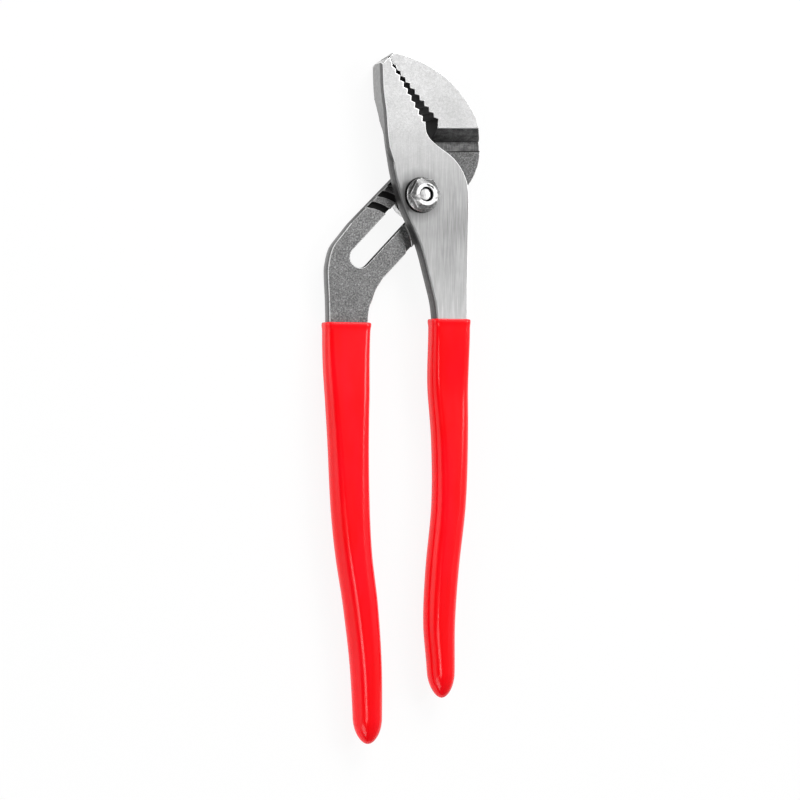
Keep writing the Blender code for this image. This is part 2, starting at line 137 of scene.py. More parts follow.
def ramp(tree, value, *stops):
    """A colour ramp from (place, colour) stops, where a colour may be a grey level."""
    node = tree.nodes.new("ShaderNodeValToRGB")
    elements = node.color_ramp.elements
    while len(elements) < len(stops):
        elements.new(0.5)
    for element, (at, colour) in zip(elements, stops):
        element.position = at
        element.color = (*(colour if isinstance(colour, tuple) else grey(colour)), 1)
    tree.links.new(value, node.inputs["Fac"])
    return node.outputs["Color"]


def grey(level):
    """A neutral colour."""
    return (level, level, level)


def plug(tree, pairs):
    """Give each input its value: a socket is linked, a colour or a number is set."""
    for value, socket in pairs:
        if isinstance(value, bpy.types.NodeSocket):
            tree.links.new(value, socket)
        elif isinstance(value, tuple):
            socket.default_value = (*value, 1)
        else:
            socket.default_value = value


def mix(tree, first, second, factor, blend='MIX'):
    """Two colours mixed. Each may be a socket or a constant."""
    node = tree.nodes.new("ShaderNodeMix")
    node.data_type = 'RGBA'
    node.blend_type = blend
    plug(tree, ((factor, node.inputs[0]), (first, node.inputs[6]), (second, node.inputs[7])))
    return node.outputs[2]


def math_node(tree, operation, first, second):
    """One sum of two values."""
    node = tree.nodes.new("ShaderNodeMath")
    node.operation = operation
    plug(tree, ((first, node.inputs[0]), (second, node.inputs[1])))
    return node.outputs[0]


def times(tree, first, second):
    """The product of two values."""
    return math_node(tree, 'MULTIPLY', first, second)


def spread(tree, value, low, high, to_low=0.0, to_high=1.0):
    """A value mapped from one span to another, held at its ends."""
    node = tree.nodes.new("ShaderNodeMapRange")
    for key, number in (("From Min", low), ("From Max", high), ("To Min", to_low), ("To Max", to_high)):
        node.inputs[key].default_value = number
    tree.links.new(value, node.inputs["Value"])
    return node.outputs["Result"]


def shade(tree, colour, share):
    """A colour brought down to a share of itself."""
    return mix(tree, grey(0.0), colour, share)


def mottle(tree, colour, value, dark, light, strength):
    """A colour multiplied by a ramp between two (place, level) stops."""
    return mix(tree, colour, ramp(tree, value, dark, light), strength, 'MULTIPLY')


def attribute(tree, name):
    """A number kept on the mesh."""
    node = tree.nodes.new("ShaderNodeAttribute")
    node.attribute_name = name
    return node.outputs["Fac"]


def paint(tree, shader, colour, rubbed, wear, roughness):
    """The base colour with rubbed edges, and the roughness."""
    tree.links.new(mix(tree, colour, rubbed, wear), shader.inputs["Base Color"])
    tree.links.new(roughness, shader.inputs["Roughness"])


def bump(tree, shader, height, strength, distance):
    """Relief from a height value."""
    node = tree.nodes.new("ShaderNodeBump")
    node.inputs["Strength"].default_value = strength
    node.inputs["Distance"].default_value = distance
    tree.links.new(height, node.inputs["Height"])
    tree.links.new(node.outputs["Normal"], shader.inputs["Normal"])


def axis_place(tree, axis):
    """One of the object coordinates."""
    coordinate = tree.nodes.new("ShaderNodeTexCoord")
    split = tree.nodes.new("ShaderNodeSeparateXYZ")
    tree.links.new(coordinate.outputs["Object"], split.inputs[0])
    return split.outputs[axis]


def from_bolt(tree, axis):
    """One of the object coordinates, counted from the bolt's axis: 0 is across the tool, 1 along it."""
    return math_node(tree, 'SUBTRACT', axis_place(tree, axis), bolt_axis[axis])


def reach_from_bolt(tree, shift):
    """Distance from a place a shift to the right of the bolt's axis."""
    across = math_node(tree, 'SUBTRACT', from_bolt(tree, 0), shift)
    along = from_bolt(tree, 1)
    squares = math_node(tree, 'ADD', times(tree, across, across), times(tree, along, along))
    return math_node(tree, 'SQRT', squares, 0.0)


def satin_steel():
    """Ground front faces: grain at the jaws, fine lines along the tool below, painted light and shade along
    the tool, and painted shade round the nut.
    """
    toned_rises = (-0.045, 0.030)
    dimmed_across = (-0.006, 0.012)
    grained_rises = (0.004, 0.028)
    # Painted shade round the nut: its shadow, shifted to its left, and a dark ring at the flange's edge.
    nut_shadow_shift, nut_shadow_reach = -0.0012, (0.0068, 0.0105)
    flange_shade_shift, flange_shade_reach = -0.0002, (0.0064, 0.0068)
    material, tree, shader = new_material("satin_ground_steel", 1.0)
    along = from_bolt(tree, 1)
    fine_lines = noise(tree, spot(tree, (1, 0.03, 1)), 3400, 2.0)
    broad_lines = noise(tree, spot(tree, (1, 0.02, 1)), 1250, 3.0, 0.6)
    lines = mix(tree, fine_lines, broad_lines, 0.35)
    grain = mix(tree, noise(tree, spot(tree), 2600, 3.0, 0.6), noise(tree, spot(tree), 1100, 3.0, 0.6), 0.4)
    cloud = noise(tree, spot(tree), 110, 3.0)
    # Painted light and shade along the tool: paler at the jaws and low down, darkest just below the nut.
    tone = ramp(tree, spread(tree, along, *toned_rises), (0.00, 0.63), (0.18, 0.54), (0.44, 0.42),
                (0.60, 0.46), (0.74, 0.53), (0.92, 0.62), (1.00, 0.63))
    tone = shade(tree, tone, spread(tree, from_bolt(tree, 0), *dimmed_across, 1.0, 0.85))
    grained = mix(tree, lines, grain, spread(tree, along, *grained_rises))
    textured = mottle(tree, tone, grained, (0.36, 0.70), (0.64, 1.16), 0.75)
    clouded = mottle(tree, textured, cloud, (0.35, 0.90), (0.65, 1.03), 0.8)
    # Painted shade: the nut's shadow on the plate, shifted to the left, and a dark ring where the flange
    # meets the plate.
    nut_shadow = spread(tree, reach_from_bolt(tree, nut_shadow_shift), *nut_shadow_reach, 0.66, 1.0)
    flange_shade = spread(tree, reach_from_bolt(tree, flange_shade_shift), *flange_shade_reach, 0.10, 1.0)
    nut_shadowed = shade(tree, clouded, times(tree, nut_shadow, flange_shade))
    paint(tree, shader, nut_shadowed, grey(0.98), attribute(tree, "edge_wear"),
          spread(tree, grain, 0.3, 0.7, 0.37, 0.47))
    bump(tree, shader, grained, 0.12, 0.00005)
    return material


def forged_steel():
    """Blasted forging: mottled and pitted, scratched bright on the strip, with painted shade beside the front
    plate and towards the jaw.
    """
    scratched_rises = (-0.036, -0.012)
    plate_shadow_shift, plate_shadow_reach, plate_shadow_rises = 0.0022, (0.0192, 0.0196), (0.006, 0.008)
    strip_shade_rises, strip_shade_across = (-0.0025, 0.0030), (-0.0040, 0.0)
    dimmed_rises = (-0.004, 0.008)
    material, tree, shader = new_material("blasted_forging", 0.85)
    along = from_bolt(tree, 1)
    fine = noise(tree, spot(tree), 1500, 5.0, 0.75)
    broad = noise(tree, spot(tree), 240, 3.0)
    base = ramp(tree, fine, (0.34, 0.09), (0.50, 0.21), (0.66, 0.42))
    scratches = noise(tree, spot(tree, (1, 0.6, 1)), 2100, 4.0, 0.8)
    flecks = times(tree, spread(tree, scratches, 0.56, 0.66), spread(tree, along, *scratched_rises))
    flecked = mix(tree, base, grey(0.62), times(tree, flecks, 0.6))
    blotched = mottle(tree, flecked, broad, (0.35, 0.76), (0.65, 1.06), 0.8)
    # Painted shade: a dark line along the front plate's curved edge, and a dark patch on the strip left of
    # the bolt, next to the plate.
    plate_shadow = times(tree, spread(tree, along, *plate_shadow_rises),
                    spread(tree, reach_from_bolt(tree, plate_shadow_shift), *plate_shadow_reach, 1.0, 0.0))
    strip_shade = times(tree, spread(tree, along, *strip_shade_rises),
                   spread(tree, from_bolt(tree, 0), *strip_shade_across, 1.0, 0.0))
    plate_side_shade = math_node(tree, 'MAXIMUM', plate_shadow, times(tree, strip_shade, 0.85))
    shaded = mix(tree, blotched, grey(0.02), plate_side_shade)
    # Painted shade: the forging is darker from just below the bolt up towards the jaw.
    shaded = shade(tree, shaded, spread(tree, along, *dimmed_rises, 1.0, 0.62))
    rubbed = times(tree, attribute(tree, "edge_wear"), spread(tree, fine, 0.30, 0.50, 0.35, 1.0))
    paint(tree, shader, shaded, grey(0.80), rubbed, spread(tree, fine, 0.3, 0.7, 0.62, 0.44))
    bump(tree, shader, fine, 0.40, 0.00012)
    return material


def strip_side_steel():
    """Side walls of the back half: paler at the back edge, darker towards the top and along the strip."""
    dimmed_rises = (-0.0150, -0.0060)
    material, tree, shader = new_material("forged_side_steel", 0.85)
    fine = noise(tree, spot(tree), 1500, 4.0, 0.7)
    depth = spread(tree, axis_place(tree, 2), back_level, strip_level)
    base = ramp(tree, depth, (0.0, 0.40), (0.45, 0.26), (0.85, 0.13), (1.0, 0.12))
    mottled = mottle(tree, base, fine, (0.3, 0.60), (0.7, 1.1), 0.7)
    mottled = shade(tree, mottled, spread(tree, from_bolt(tree, 1), *dimmed_rises, 1.0, 0.30))
    paint(tree, shader, mottled, grey(0.80), attribute(tree, "edge_wear"),
          spread(tree, fine, 0.3, 0.7, 0.60, 0.45))
    bump(tree, shader, fine, 0.35, 0.0001)
    return material


def side_steel():
    """Forged side walls of the front half: grey, with a darker trimmed band beside the front face."""
    trimmed_levels = (front_level - 0.0036, front_level - 0.0026)
    paler_rises = (0.005, 0.035)
    material, tree, shader = new_material("trimmed_side_steel", 0.9)
    fine = noise(tree, spot(tree, (1, 0.5, 1)), 1500, 4.0, 0.7)
    band = spread(tree, axis_place(tree, 2), *trimmed_levels)
    upward = spread(tree, from_bolt(tree, 1), *paler_rises)
    base = mix(tree, grey(0.20), grey(0.42), upward)
    shaded = mix(tree, base, mix(tree, grey(0.12), grey(0.16), upward), band)
    mottled = mottle(tree, shaded, fine, (0.3, 0.60), (0.7, 1.1), 0.7)
    paint(tree, shader, mottled, grey(0.80), attribute(tree, "edge_wear"),
          spread(tree, fine, 0.3, 0.7, 0.55, 0.40))
    bump(tree, shader, fine, 0.30, 0.0001)
    return material


def ramp_steel():
    """The dark ramp below the jaw block and the relief at its foot, scratched along the tool and smeared."""
    material, tree, shader = new_material("dark_ramp_steel", 0.8)
    scratches = noise(tree, spot(tree, (1, 0.10, 1)), 2600, 4.0, 0.7)
    smears = noise(tree, spot(tree, (1, 1.6, 1)), 380, 4.0, 0.7)
    scored = mottle(tree, grey(0.135), scratches, (0.35, 0.55), (0.7, 1.5), 0.75)
    scored = mottle(tree, scored, smears, (0.38, 0.60), (0.62, 1.35), 1.0)
    paint(tree, shader, scored, grey(0.05), attribute(tree, "edge_wear"),
          spread(tree, scratches, 0.3, 0.7, 0.50, 0.62))
    bump(tree, shader, scratches, 0.3, 0.00008)
    return material


def shade_black_steel():
    """Very dark steel that paints the shade between the teeth, in the slot, in the grooves and on the
    threads.
    """
    material, tree, shader = new_material("painted_shade_black_steel", 0.3)
    shader.inputs["Specular IOR Level"].default_value = 0.25
    fine = noise(tree, spot(tree), 1500, 4.0, 0.7)
    base = ramp(tree, fine, (0.3, 0.004), (0.7, 0.020))
    paint(tree, shader, base, grey(0.012), attribute(tree, "edge_wear"),
          spread(tree, fine, 0.3, 0.7, 0.60, 0.80))
    bump(tree, shader, fine, 0.3, 0.00008)
    return material


def bright_zinc():
    """Bright zinc plating with faint turning marks about the bolt, and painted shade where the mesh says so.
    """
    material, tree, shader = new_material("bright_zinc_plating", 1.0)
    centred = spot(tree, shift=(-bolt_axis.x, -bolt_axis.y, 0))
    rings = tree.nodes.new("ShaderNodeTexWave")
    rings.wave_type = 'RINGS'
    rings.rings_direction = 'Z'
    rings.inputs["Scale"].default_value = 900
    rings.inputs["Distortion"].default_value = 1.5
    rings.inputs["Detail"].default_value = 2.0
    tree.links.new(centred, rings.inputs["Vector"])
    cloud = noise(tree, centred, 900, 4.0, 0.65)
    base = ramp(tree, cloud, (0.34, 0.26), (0.50, 0.62), (0.64, 0.92))
    # Painted shade, very dark, where the mesh's face layer asks for it.
    zinc_in_shade = mix(tree, base, grey(0.03), attribute(tree, "painted_shade"))
    paint(tree, shader, zinc_in_shade, grey(0.97), attribute(tree, "edge_wear"),
          spread(tree, cloud, 0.3, 0.7, 0.30, 0.40))
    bump(tree, shader, rings.outputs["Fac"], 0.15, 0.00004)
    return material


def red_vinyl():
    """Dipped vinyl: glossy saturated red with a faint ripple and slight scuffs."""
    material, tree, shader = new_material("dipped_red_vinyl")
    shader.inputs["Specular IOR Level"].default_value = 0.32
    ripple = noise(tree, spot(tree, (1, 0.30, 1)), 110, 2.0)
    skin = noise(tree, spot(tree), 1100, 3.0)
    scuffs = noise(tree, spot(tree, (1, 0.2, 1)), 420, 4.0, 0.7)
    base = ramp(tree, ripple, (0.35, (0.985, 0.0008, 0.0045)), (0.65, (1.0, 0.0020, 0.0110)))
    paint(tree, shader, base, (1.0, 0.020, 0.030), times(tree, attribute(tree, "edge_wear"), 0.5),
          spread(tree, scuffs, 0.45, 0.75, 0.17, 0.27))
    bump(tree, shader, math_node(tree, 'ADD', times(tree, skin, 0.15), ripple), 0.14, 0.0006)
    return material


satin = satin_steel()
forged = forged_steel()
strip_side = strip_side_steel()
trimmed = side_steel()
dark_ramp = ramp_steel()
shade_black = shade_black_steel()
zinc = bright_zinc()
vinyl = red_vinyl()


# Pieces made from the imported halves
weld_distance = 0.000002
flat_joint = math.radians(0.6)
rim_angle = math.radians(40)
tooth_rim_angle = math.radians(35)
shortest_rim = 0.0004


def tidied(solid):
    """Weld a bmesh and join its flat faces."""
    bmesh.ops.remove_doubles(solid, verts=solid.verts, dist=weld_distance)
    bmesh.ops.dissolve_limit(solid, angle_limit=flat_joint, use_dissolve_boundaries=False,
                             verts=solid.verts, edges=solid.edges, delimit=set())
    solid.normal_update()
    return solid


def merged_copy(node):
    """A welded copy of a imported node's triangles, with flat faces joined."""
    solid = bmesh.new()
    solid.from_mesh(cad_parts[node].data)
    return tidied(solid)


def rounded_edges(solid, chosen, width, segments=3, worn=1.0):
    """Round the chosen edges and mark what is rounded as worn."""
    wear = solid.faces.layers.float.get("edge_wear") or solid.faces.layers.float.new("edge_wear")
    made = bmesh.ops.bevel(solid, geom=chosen, affect='EDGES', offset=width, offset_type='OFFSET',
                           segments=segments, profile=0.5, clamp_overlap=False,
                           miter_outer='SHARP', miter_inner='SHARP')
    for face in made["faces"]:
        face[wear] = worn
    solid.normal_update()


def from_axis(point):
    """A point's place across and along the tool, from the bolt's axis."""
    return Vector((point[0] - bolt_axis.x, point[1] - bolt_axis.y))


def beside_bite(point):
    """A point's distance from the line where the jaws meet and the way across it, or None beyond its ends."""
    first_share, last_share = -0.15, 1.02
    place = from_axis(point)
    nearest = None
    for start, end in zip(bite_line, bite_line[1:]):
        run = end - start
        share = (place - start).dot(run) / run.length_squared
        if first_share < share < last_share:
            across = run.normalized().cross(place - start)
            if nearest is None or abs(across) < abs(nearest[0]):
                nearest = across, Vector((-run.y, run.x)).normalized()
    return nearest


def close_bite(solid):
    """Bring the tooth crests and the parting face up to the facing jaw's."""
    least_gap, most_gap, closed_gap = 0.00008, 0.00020, 0.00002
    for vertex in solid.verts:
        found = beside_bite(vertex.co)
        if found and least_gap < abs(found[0]) < most_gap:
            shift = (abs(found[0]) - closed_gap) * (-1 if found[0] > 0 else 1)
            vertex.co.x += found[1].x * shift
            vertex.co.y += found[1].y * shift
    solid.normal_update()


def faces_bite(face, facing):
    """Whether a face is a wall that looks at the other jaw."""
    return abs(face.normal.z) < wall_lean and face.normal.x * facing > 0.1 \
        and from_axis(face.calc_center_median()).y > bite_foot_rise


def finished(solid, name, materials, body, node, smooth_angle=32):
    """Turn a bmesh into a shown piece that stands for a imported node."""
    mesh = bpy.data.meshes.new(name)
    solid.to_mesh(mesh)
    solid.free()
    for material in materials:
        mesh.materials.append(material)
    mesh.shade_smooth()
    mesh.set_sharp_from_angle(angle=math.radians(smooth_angle))
    piece = link(bpy.data.objects.new(name, mesh))
    weighted = piece.modifiers.new("Even shading", 'WEIGHTED_NORMAL')
    weighted.keep_sharp = True
    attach(piece, body)
    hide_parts(node)


def sharp_convex(edge, least_angle=rim_angle, least_length=shortest_rim):
    """Whether an edge is an outer corner worth rounding."""
    if len(edge.link_faces) != 2 or edge.calc_length() < least_length:
        return False
    return edge.is_convex and edge.calc_face_angle(0) > least_angle


def round_half(solid, facing, low_rise, width):
    """Round a half's outer edges, the teeth only a little."""
    teeth = [edge for edge in solid.edges if sharp_convex(edge, tooth_rim_angle)
             and any(faces_bite(face, facing) for face in edge.link_faces)
             and any(face.normal.z > nearly_flat_top for face in edge.link_faces)]
    rounded_edges(solid, teeth, 0.00006, 1, 0.0)
    rims = [edge for edge in solid.edges if sharp_convex(edge)
            and not any(faces_bite(face, facing) for face in edge.link_faces)
            and min(from_axis(vertex.co).y for vertex in edge.verts) > low_rise]
    rounded_edges(solid, rims, width)


def soft_left_edge(edge):
    """Whether an edge is part of the front plate's soft left edge."""
    front = any(face.normal.z > flat_top for face in edge.link_faces)
    left = any(face.normal.x < -0.3 and abs(face.normal.z) < wall_lean for face in edge.link_faces)
    rises = [from_axis(vertex.co).y for vertex in edge.verts]
    return sharp_convex(edge) and front and left \
        and min(rises) > soft_edge_low_rise and max(rises) < soft_edge_top_rise


def front_half_finish(face):
    """Satin front and tip, painted shade in very dark steel on the bite, trimmed sides and forged back."""
    rounded_depth = 0.0009
    soft_top = 0.85
    centre, normal = face.calc_center_median(), face.normal
    rise = from_axis(centre).y
    least_up = leaning_top if rise > soft_edge_top_rise or normal.x > 0 else soft_top
    if normal.z > least_up and centre.z > front_level - rounded_depth:
        return satin
    if rise > tip_rise and normal.y > tip_slope:
        return satin
    # Painted shade: the walls of the teeth and throat that face the other jaw are very dark.
    if front_throat_rise < rise < bite_top_rise and normal.x > 0.15 and abs(normal.z) < wall_lean:
        return shade_black
    return trimmed if abs(normal.z) < 0.75 else forged


def build_tongue_half():
    """Front half: satin front, trimmed sides, painted shade in very dark steel on the teeth, and forged back.
    """
    solid = merged_copy("tongue_half")
    close_bite(solid)
    rounded_edges(solid, [edge for edge in solid.edges if soft_left_edge(edge)], 0.0010, 5, 0.0)
    round_half(solid, 1, front_rounding_low_rise, 0.00024)
    finishes = (satin, trimmed, shade_black, forged)
    for face in solid.faces:
        face.material_index = finishes.index(front_half_finish(face))
    finished(solid, "front_half", finishes, tongue_side, "tongue_half")


def along_slot(point):
    """A point's place from the bolt's axis as a run up the slot's line and a distance to its left."""
    line = Vector((math.cos(slot_angle), math.sin(slot_angle)))
    place = from_axis(point)
    return line.dot(place), line.cross(place)


def in_slot(point):
    """Whether a point is in the slot of the strip."""
    run, aside = along_slot(point)
    reach = shank_radius + 2 * face_gap
    return abs(aside) < reach and -slot_length - reach < run < reach


def in_groove_zone(point):
    """Whether a point lies well inside the strip's edges, where only groove walls are."""
    run, aside = along_slot(point)
    return abs(aside) < 0.0095 and run > -0.020


def lean_block_side(solid):
    """Draft on the jaw block's side wall, so that no light shows past the throat."""
    lean, lean_run, top_rise = 0.0007, 0.0030, 0.0320
    for vertex in solid.verts:
        place = from_axis(vertex.co)
        at_foot = vertex.co.z < back_level + 0.0005
        if at_foot and 0.0042 < place.x < 0.0070 and 0.0235 < place.y < 0.0315:
            vertex.co.x -= lean * min(1, (top_rise - place.y) / lean_run)
    solid.normal_update()


def relief_edge(edge):
    """Whether an edge is part of the step at the relief's foot."""
    at_strip = all(abs(vertex.co.z - strip_level) < level_slack for vertex in edge.verts)
    low_rise = min(from_axis(vertex.co).y for vertex in edge.verts)
    return sharp_convex(edge) and at_strip and low_rise > relief_foot_rise - 0.0014 \
        and any(face.normal.y > 0.8 for face in edge.link_faces)


def back_half_finish(face, wear):
    """Satin jaw and tip, painted shade in very dark steel on the bite, slot, grooves and relief step, dark
    ramp and relief, paler walls, forged rest.
    """
    rounded_depth, relief_run, recess_top, groove_foot = 0.0008, 0.0012, 0.0020, 0.0030
    deepest_relief, deepest_groove = relief_depth + 0.0002, groove_depth + 0.0004
    centre, normal = face.calc_center_median(), face.normal
    rise = from_axis(centre).y
    sunk = strip_level - centre.z
    if normal.z > leaning_top and centre.z > front_level - rounded_depth:
        return satin
    if rise > tip_rise and normal.y > tip_slope:
        return satin
    # Painted shade: the narrow rounding on the relief's step, marked with wear below zero, is a very dark
    # shadow line.
    if wear < 0:
        return shade_black
    if rise > relief_foot_rise - relief_run and sunk < deepest_relief and normal.z > 0.3:
        return dark_ramp if sunk > level_slack or normal.z < 0.8 else forged
    # Painted shade: the bite's walls, the slot's walls and the groove faces on one side of the slot are very
    # dark.
    if back_throat_rise < rise < bite_top_rise and normal.x < -0.15 and abs(normal.z) < wall_lean:
        return shade_black
    if in_slot(centre) and abs(normal.z) < 0.8 and centre.z > back_level + recess_top:
        return shade_black
    in_groove = level_slack < sunk < deepest_groove and centre.z > back_level + groove_foot
    if rise < ramp_foot_rise and in_groove and (normal.z > nearly_flat_top or in_groove_zone(centre)):
        return forged if along_slot(centre)[1] < 0 else shade_black
    return strip_side if abs(normal.z) < 0.6 and wear < 0.5 else forged


def back_half_wear(centre, wear):
    """Less wear on the grooves' lips and on the strip's upper left rim."""
    rise = from_axis(centre).y
    if in_groove_zone(centre) and -0.0200 < rise < ramp_foot_rise - 0.0030:
        return wear * 0.12
    if -0.0110 < rise < 0.0080 and centre.x < bolt_axis.x:
        return wear * 0.35
    return wear


def build_slotted_half():
    """Back half: satin jaw face, dark ramp, grooved strip and blasted neck."""
    solid = merged_copy("slotted_half")
    close_bite(solid)
    lean_block_side(solid)
    # The relief's step is rounded narrowly and marked with wear below zero, to be painted as a dark shadow
    # line.
    rounded_edges(solid, [edge for edge in solid.edges if relief_edge(edge)], 0.00040, 4, -1.0)
    round_half(solid, -1, back_rounding_low_rise, 0.00028)
    wear = solid.faces.layers.float.get("edge_wear")
    finishes = (satin, forged, dark_ramp, shade_black, strip_side)
    for face in solid.faces:
        face.material_index = finishes.index(back_half_finish(face, face[wear]))
        face[wear] = back_half_wear(face.calc_center_median(), max(0.0, face[wear]))
    finished(solid, "slotted_back_half", finishes, slotted_side, "slotted_half")


build_tongue_half()
build_slotted_half()

# Shares of the grips: drop, shift in lengths, width and depth in rim sizes, outer and inner corner radius
slotted_grip_shares = (
    (0.00, 0.0000, 1.000, 1.00, 0.67, 0.18),
    (0.13, -0.0050, 0.960, 1.08, 0.80, 0.55),
    (0.28, -0.0026, 0.870, 1.18, 0.90, 0.85),
    (0.44, 0.0026, 0.820, 1.29, 0.95, 0.95),
    (0.55, 0.0115, 0.775, 1.34, 0.97, 0.97),
    (0.67, 0.0285, 0.735, 1.36, 0.97, 0.97),
    (0.82, 0.0424, 0.665, 1.34, 0.97, 0.97),
    (1.00, 0.0476, 0.580, 1.25, 0.97, 0.97),
)
tongue_grip_shares = (
    (0.00, 0.0000, 1.000, 1.00, 0.67, 0.18),
    (0.16, 0.0030, 1.000, 1.09, 0.80, 0.55),
    (0.32, 0.0095, 0.907, 1.20, 0.90, 0.85),
    (0.49, 0.0066, 0.848, 1.28, 0.95, 0.95),
    (0.66, -0.0119, 0.821, 1.33, 0.97, 0.97),
    (0.80, -0.0205, 0.780, 1.33, 0.97, 0.97),
    (0.91, -0.0165, 0.690, 1.30, 0.97, 0.97),
    (1.00, -0.0133, 0.620, 1.22, 0.97, 0.97),
)


# Grips
def read_row(rows, share):
    """The values of a table of shares at one place, on a smooth curve through its rows."""
    index = 0
    while index < len(rows) - 2 and share > rows[index + 1][0]:
        index += 1
    before, start = rows[max(index - 1, 0)], rows[index]
    end, after = rows[index + 1], rows[min(index + 2, len(rows) - 1)]
    span = end[0] - start[0]
    t = (share - start[0]) / span
    values = []
    for column in range(1, len(start)):
        leave = (end[column] - before[column]) / (end[0] - before[0]) * span
        arrive = (after[column] - start[column]) / (after[0] - start[0]) * span
        values.append((2 * t ** 3 - 3 * t ** 2 + 1) * start[column] + (t ** 3 - 2 * t ** 2 + t) * leave
                      + (3 * t ** 2 - 2 * t ** 3) * end[column] + (t ** 3 - t ** 2) * arrive)
    return values


class Sleeve:
    """Sections of one dipped grip."""

    wall = 0.0011
    corner_steps = 16
    tip_length = 0.0095
    tip_steps = 15
    settle_drop = 0.030
    hollow_share = 0.93
    hollow_steps = 60
    rim_steps = 6
    rim_bulge = 0.00018
    collar = ((0.0011, 0.00020), (0.0016, 0.00016), (0.0022, 0.00006), (0.0030, 0.0))
    body_start = 0.0030
    body_steps = 110

    def __init__(self, rows, neck_x, neck_width, neck_drop, neck_level, length):
        self.rows = rows
        self.neck_x = neck_x + bolt_axis.x
        self.rim_y = bolt_axis.y - neck_drop
        self.neck_level = neck_level
        self.length = length
        self.rim_width = neck_width + 2 * (face_gap + self.wall)
        self.rim_depth = plate_thickness + 2 * (face_gap + self.wall)

    def ring(self, drop, inset=0.0, scale=1.0, inner=False):
        """A rounded rectangle at a drop below the rim."""
        shift, width, depth, outer_corner, inner_corner = read_row(self.rows, min(drop / self.length, 1))
        settle = min(drop / self.settle_drop, 1)
        level = self.neck_level + (middle_level - self.neck_level) * settle ** 2 * (3 - 2 * settle)
        half_width = (width * self.rim_width / 2 - inset) * scale
        half_depth = (depth * self.rim_depth / 2 - inset) * scale
        corner = (inner_corner if inner else outer_corner) * min(half_width, half_depth)
        points = []
        for quarter, (side, face) in enumerate(((1, 1), (-1, 1), (-1, -1), (1, -1))):
            for step in range(self.corner_steps):
                angle = math.pi / 2 * (quarter + step / (self.corner_steps - 1))
                x = side * (half_width - corner) + corner * math.cos(angle)
                z = face * (half_depth - corner) + corner * math.sin(angle)
                points.append((self.neck_x + shift * self.length + x, self.rim_y - drop, level + z))
        return points

    def rings(self):
        """All sections, up the hollow, over the rolled rim and down to the drip at the tip."""
        hollow_end = self.hollow_share * self.length + face_gap
        made = [self.ring(hollow_end * (1 - step / self.hollow_steps), self.wall, inner=True)
                for step in range(self.hollow_steps + 1)]
        for step in range(self.rim_steps + 1):
            angle = math.pi * step / self.rim_steps
            lift = math.sin(angle) * self.wall / 2
            inset = self.wall / 2 * (1 + math.cos(angle)) - self.rim_bulge * (1 - math.cos(angle)) / 2
            made.append(self.ring(self.wall / 2 - lift, inset))
        made += [self.ring(drop, -proud) for drop, proud in self.collar]
        body_run = self.length - self.tip_length - self.body_start
        made += [self.ring(self.body_start + body_run * step / self.body_steps)
                 for step in range(1, self.body_steps + 1)]
        for step in range(1, self.tip_steps):
            share = (1 - step / self.tip_steps) ** 1.3
            scale = (1 - (1 - share) ** 2) ** 0.55
            made.append(self.ring(self.length - share * self.tip_length, scale=scale))
        return made

    def skin(self, name, body, node):
        """The sleeve as a closed smooth mesh."""
        solid = bmesh.new()
        wear = solid.faces.layers.float.new("edge_wear")
        loops = [[solid.verts.new(point) for point in ring] for ring in self.rings()]
        worn_rows = range(self.hollow_steps, self.hollow_steps + self.rim_steps + 2)
        for row, (near, far) in enumerate(zip(loops, loops[1:])):
            for index in range(len(near)):
                following = (index + 1) % len(near)
                face = solid.faces.new((near[index], near[following], far[following], far[index]))
                face[wear] = 1.0 if row in worn_rows else 0.0
        tip_y = self.rim_y - self.length
        for loop, pole_y in ((loops[0], None), (loops[-1], tip_y)):
            middle = sum((vertex.co for vertex in loop), Vector()) / len(loop)
            if pole_y is not None:
                middle.y = pole_y
            pole = solid.verts.new(middle)
            for index in range(len(loop)):
                solid.faces.new((loop[index], loop[(index + 1) % len(loop)], pole))
        bmesh.ops.remove_doubles(solid, verts=solid.verts, dist=0.0000005)
        bmesh.ops.recalc_face_normals(solid, faces=solid.faces)
        finished(solid, name, (vinyl,), body, node, smooth_angle=75)


tongue_sleeve = Sleeve(tongue_grip_shares, neck_x=0.0121, neck_width=0.0126, neck_drop=0.0453,
                       neck_level=front_level - plate_thickness / 2, length=0.1407)
slotted_sleeve = Sleeve(slotted_grip_shares, neck_x=-0.0266, neck_width=0.0150, neck_drop=0.0469,
                        neck_level=back_level + plate_thickness / 2, length=0.1545)
tongue_sleeve.skin("right_dipped_grip", tongue_side, "tongue_half_grip")
slotted_sleeve.skin("left_dipped_grip", slotted_side, "slotted_half_grip")

# Nut: sizes, angles in degrees, and profiles as radius and height above its foot or depth below its top
hexagon_across = 0.0108
hexagon_turn = math.radians(2)
hexagon_foot = 0.0004
bore_radius = 0.0026
bore_mouth_radius = 0.00275
cutter_overrun = 0.001
stakes = ((202, 0.0037, 0.0023), (334, 0.0048, 0.0012))
stake_length, stake_depth, stake_lift = 0.0024, 0.0005, 0.00005
burr_angles = (46, 58, 70, 82)
burr_radius, burr_size = 0.0034, (0.00050, 0.00095, 0.0008)
notch_place, notch_size, notch_turn = (-0.0003, 0.0066, 0.0012), (0.0011, 0.0012, 0.0016), math.radians(8)
crown_profile = ((0, 0), (0.0041, 0), (0.0043, 0.00008), (0.0066, 0.0012))
flange_profile = ((0, 0.0015), (0.0048, 0.0015), (0.0052, 0.00135), (0.0060, 0.00095), (0.00622, 0.00075),
                  (0.0063, 0.00052), (0.0063, 0.00012), (0.0062, 0), (0, 0))

